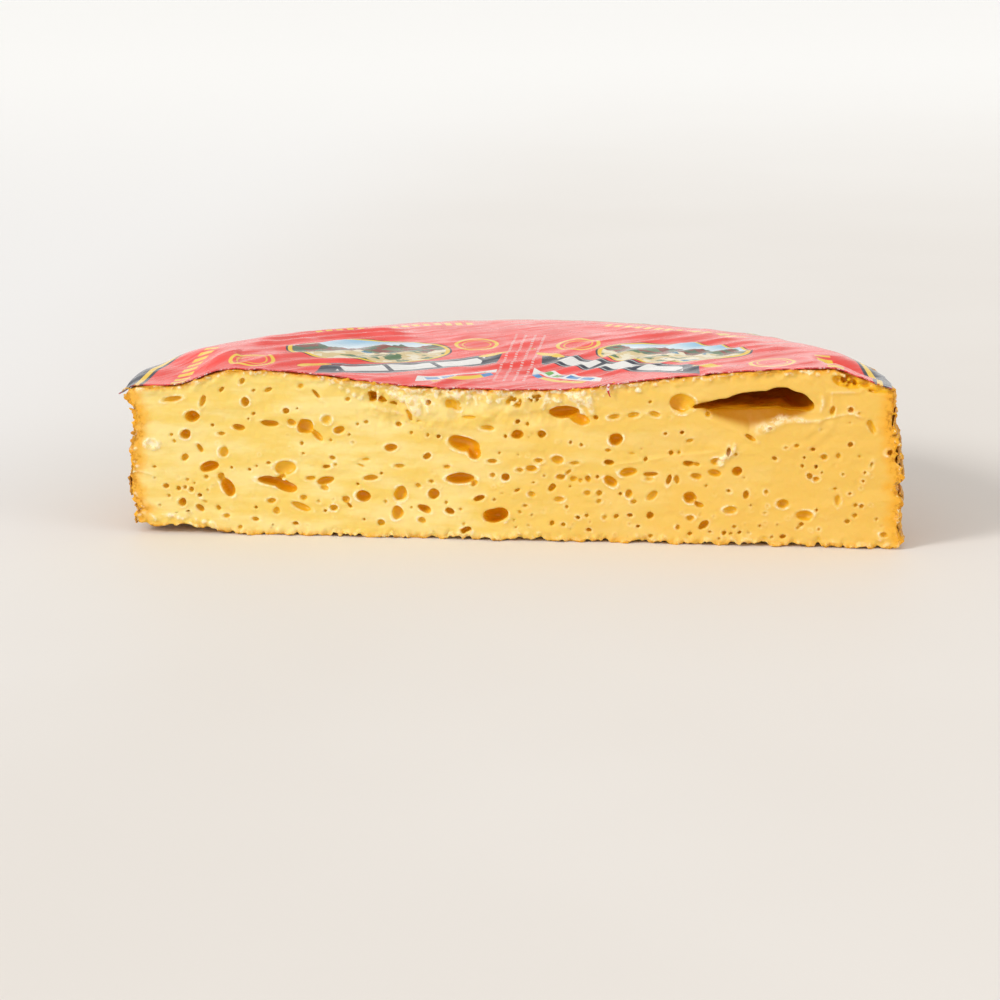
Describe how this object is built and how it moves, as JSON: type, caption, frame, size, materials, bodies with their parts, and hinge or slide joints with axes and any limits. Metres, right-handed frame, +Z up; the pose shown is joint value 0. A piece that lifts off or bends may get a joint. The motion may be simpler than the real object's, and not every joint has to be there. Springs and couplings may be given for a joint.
{
  "type": "half cheese wheel",
  "caption": "Half of a flat washed-rind cheese wheel, cut straight across, with open eyes and a split in the paste, a paper label on top and sedge strips bound round the rind.",
  "frame": {"origin": "middle of the underside of the part's box, on the surface it rests on", "axes": "+X along the cut edge, +Y from the cut face into the cheese, +Z up"},
  "size_m": [0.201, 0.1006, 0.0467],
  "materials": {
    "paste_and_rind": "satin, moist paste with a thin matt orange-brown rind",
    "label_paper": "glossy printed paper with white cut edges",
    "sedge": "dry ribbed plant strip, matt"
  },
  "bodies": {
    "root": {"cheese_half": "paste_and_rind", "paper_label": "label_paper", "sedge_strip_1": "sedge", "sedge_strip_2": "sedge", "sedge_strip_3": "sedge", "sedge_strip_4": "sedge", "sedge_strip_5": "sedge"}
  },
  "joints": []
}
